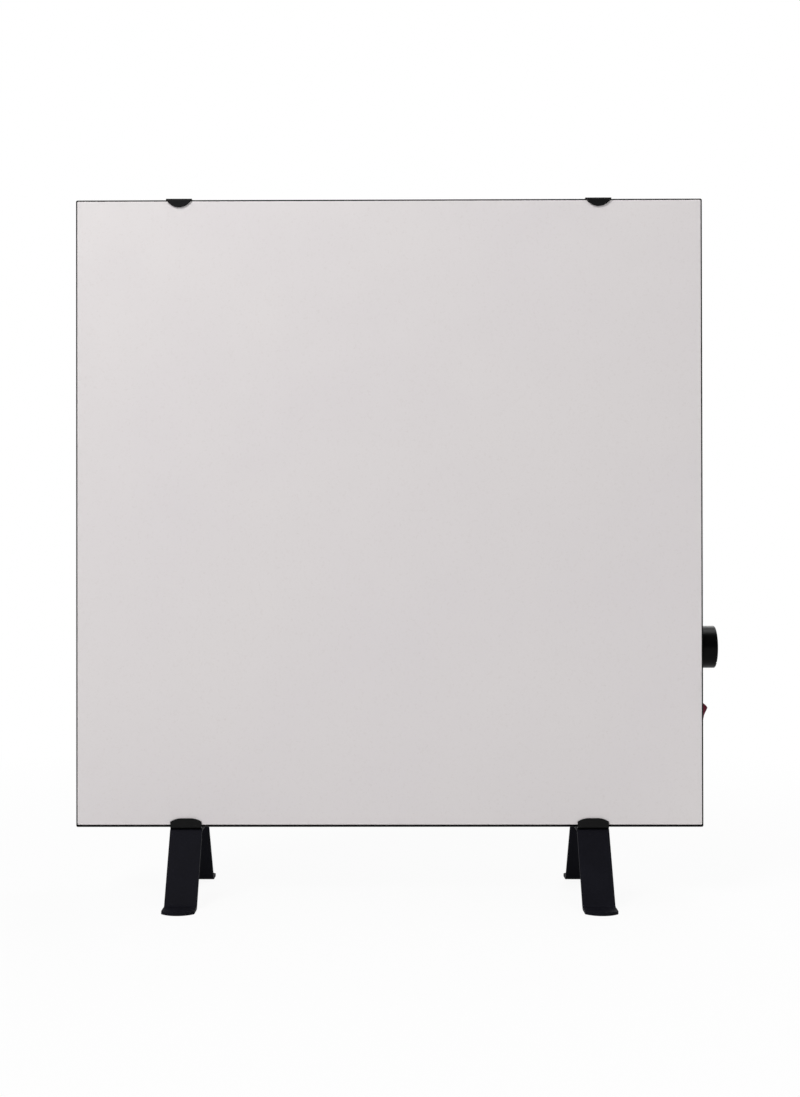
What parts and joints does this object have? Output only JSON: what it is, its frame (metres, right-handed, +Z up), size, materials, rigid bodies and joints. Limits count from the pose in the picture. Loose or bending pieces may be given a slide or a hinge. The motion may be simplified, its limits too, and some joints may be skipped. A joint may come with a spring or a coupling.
{
  "type": "ceramic panel heater",
  "caption": "Free-standing electric panel heater: square ceramic tile in a thin black steel casing on bent strip feet, with a thermostat knob and a rocker switch on its right side.",
  "frame": {"origin": "on the floor plane, under the middle of the whole heater's box, knob and toes included", "axes": "+X towards the side with the knob, +Y from the tile to the back cover, +Z up"},
  "size_m": [0.619, 0.1934, 0.6759],
  "materials": {
    "glazed_tile": "satin",
    "black_paint": "satin",
    "foot_paint": "satin",
    "black_screw": "satin",
    "zinc_screw": "bright",
    "galvanised": "satin",
    "foil": "bright",
    "wool": "matte",
    "mica": "matte",
    "felt": "matte",
    "cable_sheath": "satin",
    "black_plastic": "satin",
    "red_plastic": "gloss",
    "bakelite": "satin",
    "steatite": "matte",
    "brown_wire": "satin",
    "blue_wire": "satin",
    "green_wire": "satin"
  },
  "bodies": {
    "heater": {"back_cover": "black_paint", "bottom_clip_left": "black_paint", "bottom_clip_right": "black_paint", "cable_gland": "black_plastic", "casing": "black_paint", "ceramic_tile": "glazed_tile", "cover_screw_1": "black_screw", "cover_screw_2": "black_screw", "cover_screw_3": "black_screw", "cover_screw_4": "black_screw", "cover_screw_5": "black_screw", "cover_screw_6": "black_screw", "cover_screw_7": "black_screw", "cover_screw_8": "black_screw", "cutout_screw_left": "zinc_screw", "cutout_screw_right": "zinc_screw", "earth_screw": "zinc_screw", "element_mat": "mica", "foot_left": "foot_paint", "foot_nut_left_front": "zinc_screw", "foot_nut_left_rear": "zinc_screw", "foot_nut_right_front": "zinc_screw", "foot_nut_right_rear": "zinc_screw", "foot_right": "foot_paint", "foot_screw_left_front": "black_screw", "foot_screw_left_rear": "black_screw", "foot_screw_right_front": "black_screw", "foot_screw_right_rear": "black_screw", "gland_nut": "black_plastic", "heating_cable": "cable_sheath", "inner_tray": "galvanised", "insulation_board": "wool", "reflector_sheet": "foil", "sensor_capillary": "zinc_screw", "switch_housing": "black_plastic", "terminal_block": "steatite", "terminal_block_screw_1": "zinc_screw", "terminal_block_screw_2": "zinc_screw", "thermal_cutout": "bakelite", "thermostat_body": "bakelite", "thermostat_screw_lower": "zinc_screw", "thermostat_screw_upper": "zinc_screw", "tile_gasket": "felt", "top_clip_left": "black_paint", "top_clip_right": "black_paint", "top_clip_rivet_left": "black_screw", "top_clip_rivet_right": "black_screw", "wire_cutout_to_element": "brown_wire", "wire_earth": "green_wire", "wire_inlet_to_switch": "brown_wire", "wire_neutral": "blue_wire", "wire_switch_to_thermostat": "brown_wire", "wire_thermostat_to_cutout": "brown_wire"},
    "knob": {"thermostat_shaft": "zinc_screw", "thermostat_knob": "black_plastic"},
    "rocker": {"switch_rocker": "red_plastic"}
  },
  "joints": [
    {"name": "thermostat_turn", "type": "hinge", "parent": "heater", "child": "knob", "pos_m": [0.2931, -0.00475, 0.242], "axis": [-1, 0, 0], "range_deg": [0, 270]},
    {"name": "rocker_tilt", "type": "hinge", "parent": "heater", "child": "rocker", "pos_m": [0.2915, -0.00475, 0.1776], "axis": [0, -1, 0], "range_deg": [0, 29]}
  ]
}
